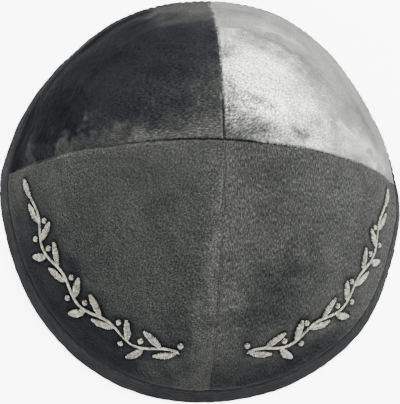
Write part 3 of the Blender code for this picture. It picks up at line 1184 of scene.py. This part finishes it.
def make_panel(panel, stitches, velvet, backing):
    """A velvet panel with its edges rolled under at the seams."""
    azimuth, arc = panel_places(panel.quarter)
    flat = dome_point(azimuth, arc, 0.0)
    nearness = nearness_to(stitches, flat)
    outer = dome_point(azimuth, arc, panel_relief(panel, azimuth, arc, flat, nearness))
    inner = inside_points(coarse(azimuth), coarse(arc))
    points = np.concatenate([outer.reshape(-1, 3), inner.reshape(-1, 3)])
    faces, face_materials = panel_faces(PANEL_ROWS, PANEL_COLUMNS)
    mesh = make_mesh(panel.name + "_velvet", points, faces, [velvet, backing], face_materials)
    grain = patch_gain(GRAIN_PATCHES[panel.quarter], azimuth, arc, flat)
    # The pile value is the pile's tone with painted light and shade
    add_values(mesh, "pile", with_inside(pile_tone_and_painted_light(panel, azimuth, arc, flat, nearness)))
    add_values(mesh, "grain", with_inside(grain))
    add_cloth_map(mesh, with_inside(laid_flat(panel, azimuth, arc)))
    return make_piece(panel.name + "_velvet", mesh, panel.name)


# Binding


def straight(outward, low, high, shares):
    """Points on a straight face of the binding, at these shares of the way up it."""
    return pairs(outward, low + (high - low) * shares)


def bend(outward, height, radius, turns):
    """Points round a bend about this middle, at these turns from straight outward."""
    return pairs(outward + radius * np.cos(turns), height + radius * np.sin(turns))


def binding_section():
    """The binding's closed outline, as distances outward from the velvet and heights."""
    half = BINDING_THICKNESS / 2
    fold = BINDING_FOLD_RADIUS
    inner_fold = BINDING_THICKNESS + BINDING_INNER_FOLD
    outside, inside = BINDING_OUTSIDE, BINDING_INSIDE
    top, inside_top = BINDING_HEIGHT - half, BINDING_INSIDE_HEIGHT - half
    down = np.linspace(1, 0, BINDING_LEG_POINTS)
    coarse_down = down[::BINDING_COARSE_STEP]
    under = np.linspace(0, -QUARTER, BINDING_ROUND_POINTS)
    over = np.linspace(math.pi, 0, 2 * BINDING_ROUND_POINTS)
    parts = [
        straight(outside, fold, top, down),
        bend(outside - fold, fold, fold, under),
        bend(inside + fold, fold, fold, under - QUARTER),
        straight(inside, fold, inside_top, down[::-1]),
        bend(inside + half, inside_top, half, over),
        straight(inside + 2 * half, inner_fold, inside_top, coarse_down),
        straight(outside - 2 * half, inner_fold, top, coarse_down[::-1]),
        bend(outside - half, top, half, over),
    ]
    section = np.concatenate(parts)
    apart = np.linalg.norm(section - np.roll(section, 1, axis=0), axis=-1) > BINDING_SAME_PLACE
    return section[apart]


def binding_point(azimuth, outward, height):
    """A point of the binding, this far outward from the velvet and this high."""
    turn = turn_at_height(height)
    radius, _ = wall_place(azimuth, turn)
    _, rise = wall_slope(azimuth, turn)
    return around(radius + outward / rise, azimuth, height)


def binding_wear_and_sheen(azimuth, height, outer_face):
    """How light the binding is painted at each point: paler on the ribs and at the top, partly as
    rubbing and partly as painted highlight, and lighter or darker in patches.
    """
    # Rib crests and the top edge painted paler: rubbing and painted highlight
    on_ribs = 0.5 + 0.5 * np.cos(2 * math.pi * height / RIB_SPACING)
    at_hem = bell(height - BINDING_HEIGHT, HEM_WEAR_AND_SHEEN_HALF_WIDTH) * outer_face
    wear_and_sheen = BINDING_LIGHTNESS * (WEAR_EVERYWHERE + WEAR_AND_SHEEN_ON_RIBS * on_ribs + WEAR_AND_SHEEN_AT_HEM * at_hem)
    for patch in BINDING_PATCHES:
        wear_and_sheen = wear_and_sheen * patch.amount ** rim_bell(azimuth, patch)
    return wear_and_sheen


def make_binding(material):
    """The folded strip round the rim, with ribs along it."""
    section = binding_section()
    azimuth = np.arange(BINDING_COLUMNS)[:, None] * 2 * math.pi / BINDING_COLUMNS
    outward, height = section[:, 0], section[:, 1]
    flat = binding_point(azimuth, outward, height)
    outer_face = smooth_step((outward - BINDING_SIDE_GAP) / BINDING_THICKNESS * 2 - 1)
    ribs = RIB_DEPTH * np.cos(2 * math.pi * height / RIB_SPACING) * outer_face
    ribs = ribs * smooth_step((height - RIBS_START) / RIBS_DEEPEN_OVER)
    waves = waves_at(flat, BINDING_WAVES) * smooth_step(height / BINDING_WAVES_GROW_OVER)
    waves = np.minimum(waves + waves_at(flat, BINDING_PUCKER), BINDING_WAVE_LIMIT) * outer_face
    points = binding_point(azimuth, outward + ribs + waves, height)
    count = len(section)
    grid = np.arange(BINDING_COLUMNS * count).reshape(BINDING_COLUMNS, count)
    beside = np.roll(grid, -1, axis=0)
    corners = (grid, np.roll(grid, -1, axis=1), np.roll(beside, -1, axis=1), beside)
    faces = np.stack(corners, axis=-1).reshape(-1, 4).tolist()
    mesh = make_mesh("rim_binding_cloth", points, faces, [material])
    add_values(mesh, "wear_and_sheen", binding_wear_and_sheen(azimuth, height, outer_face))
    path = np.concatenate([[0.0], np.cumsum(np.linalg.norm(np.diff(section, axis=0), axis=-1))])
    add_cloth_map(mesh, pairs(azimuth * MEAN_RADIUS, path))
    return make_piece("rim_binding_cloth", mesh, "rim_binding")


# The cap


def sample_tree(threads):
    """The places of the stitches, to look up how near each point of the velvet is."""
    points, _ = thread_lines(threads, 0.0)
    places = points[:, 1::2].reshape(-1, 3)
    tree = KDTree(len(places))
    for number, place in enumerate(places):
        tree.insert(place, number)
    tree.balance()
    return tree


velvet = velvet_material()
backing = backing_material()
binding_cloth = binding_material()
garland_thread = thread_material("garland_thread")
sewing_thread = thread_material("sewing_thread")

trees = {}
for number, span in enumerate(GARLAND_SPANS):
    threads = garland_threads(span, GARLAND_SEED + number)
    trees[span["quarter"]] = sample_tree(threads)
    threads["shades"] = threads["shades"] * GARLAND_LIGHTNESS
    made = thread_mesh(span["name"], threads, THREAD_BASE, THREAD_RADIUS, garland_thread)
    make_piece(span["name"], made)

panels = [make_panel(panel, trees.get(panel.quarter), velvet, backing) for panel in PANELS]

seams = joined([seam_threads(quarter, SEAM_STITCH_SEED + quarter) for quarter in range(len(SEAMS))])
stitched = thread_mesh("seam_stitches", seams, -SEAM_STITCH_RISE, SEAM_STITCH_RADIUS, sewing_thread)
make_piece("seam_stitches", stitched)

fuzz = joined([fuzz_threads(seam, FUZZ_SEED + number) for number, seam in enumerate(FUZZ_SEAMS)])
fuzzed = thread_mesh("pile_fuzz", fuzz, FUZZ_BASE, FUZZ_RADIUS, sewing_thread)
make_piece("pile_fuzz", fuzzed)

binding = make_binding(binding_cloth)
hem = hem_threads(HEM_STITCH_SEED)
hemmed = thread_mesh("hem_stitches", hem, BINDING_OUTSIDE, HEM_STITCH_RADIUS, sewing_thread)
hem_stitches = make_piece("hem_stitches", hemmed)

# Floor, light and camera


def stand(name, data, right, back, place):
    """A camera or light at this place, with its right side and its back towards these directions."""
    thing = bpy.data.objects.new(name, data)
    rows = np.column_stack([right, np.cross(back, right), back, place]).tolist()
    thing.matrix_world = Matrix(rows + [[0.0, 0.0, 0.0, 1.0]])
    bpy.context.scene.collection.objects.link(thing)
    return thing


def make_camera():
    """The camera, which looks at the foot of the crown's axis."""
    level_share = math.cos(CAMERA_ELEVATION)
    level = np.array([math.cos(CAMERA_AZIMUTH), math.sin(CAMERA_AZIMUTH), 0.0])
    back = np.array([level[1] * level_share, -level[0] * level_share, math.sin(CAMERA_ELEVATION)])
    right = math.cos(CAMERA_ROLL) * level + math.sin(CAMERA_ROLL) * np.cross(back, level)
    place = np.array([AXIS_X, AXIS_Y, 0.0]) + back * CAMERA_DISTANCE
    data = bpy.data.cameras.new("camera")
    data.lens = CAMERA_LENS
    data.shift_x, data.shift_y = CAMERA_SHIFT
    data.clip_start = CAMERA_NEAREST
    bpy.context.scene.camera = stand("camera", data, right, back, place)


def make_light(light):
    """A square soft light that faces the cap."""
    data = bpy.data.lights.new(light["name"], "AREA")
    data.size = light["size"]
    data.energy = light["power"]
    away = np.array(light["place"]) - np.array([0.0, 0.0, CROWN_HEIGHT / 2])
    back = unit(away)
    right = unit(np.cross(LIGHT_UPWARD, back))
    stand(light["name"], data, right, back, light["place"])


def floor_material():
    """A pale floor that gives off light, so that it looks nearly white."""
    material = new_material("pale_floor")
    grain = solid_noise(material, FLOOR_GRAIN, detail=3.0)
    inputs = shader_inputs(material)
    link(material, spread(material, grain, FLOOR_LIGHTNESS), inputs["Base Color"])
    inputs["Roughness"].default_value = FLOOR_ROUGHNESS
    inputs["Specular IOR Level"].default_value = FLOOR_SPECULAR
    inputs["Emission Color"].default_value = WHITE
    inputs["Emission Strength"].default_value = FLOOR_GLOW
    return material


def make_floor():
    """A wide square floor just under the rim."""
    corners = FLOOR_REACH * np.array([[-1, -1, 0], [1, -1, 0], [1, 1, 0], [-1, 1, 0]])
    floor = bpy.data.objects.new("floor", make_mesh("floor", corners, [[0, 1, 2, 3]], [floor_material()]))
    floor.location.z = -FLOOR_DROP
    bpy.context.scene.collection.objects.link(floor)


def light_the_air():
    """Even light from all round, and a backdrop that the camera sees brighter than it shines."""
    world = bpy.data.worlds.new("studio")
    bpy.context.scene.world = world
    world.use_nodes = True
    nodes = world.node_tree.nodes
    air = nodes["Background"]
    backdrop = nodes.new("ShaderNodeBackground")
    for background, strength in ((air, AIR_STRENGTH), (backdrop, BACKDROP_STRENGTH)):
        background.inputs["Color"].default_value = WHITE
        background.inputs["Strength"].default_value = strength
    seen = nodes.new("ShaderNodeLightPath")
    mix = nodes.new("ShaderNodeMixShader")
    sources = (seen.outputs["Is Camera Ray"], air.outputs[0], backdrop.outputs[0])
    for source, target in zip(sources, mix.inputs):
        world.node_tree.links.new(source, target)
    world.node_tree.links.new(mix.outputs[0], nodes["World Output"].inputs["Surface"])


make_camera()
make_floor()
light_the_air()
for light in LIGHTS:
    make_light(light)
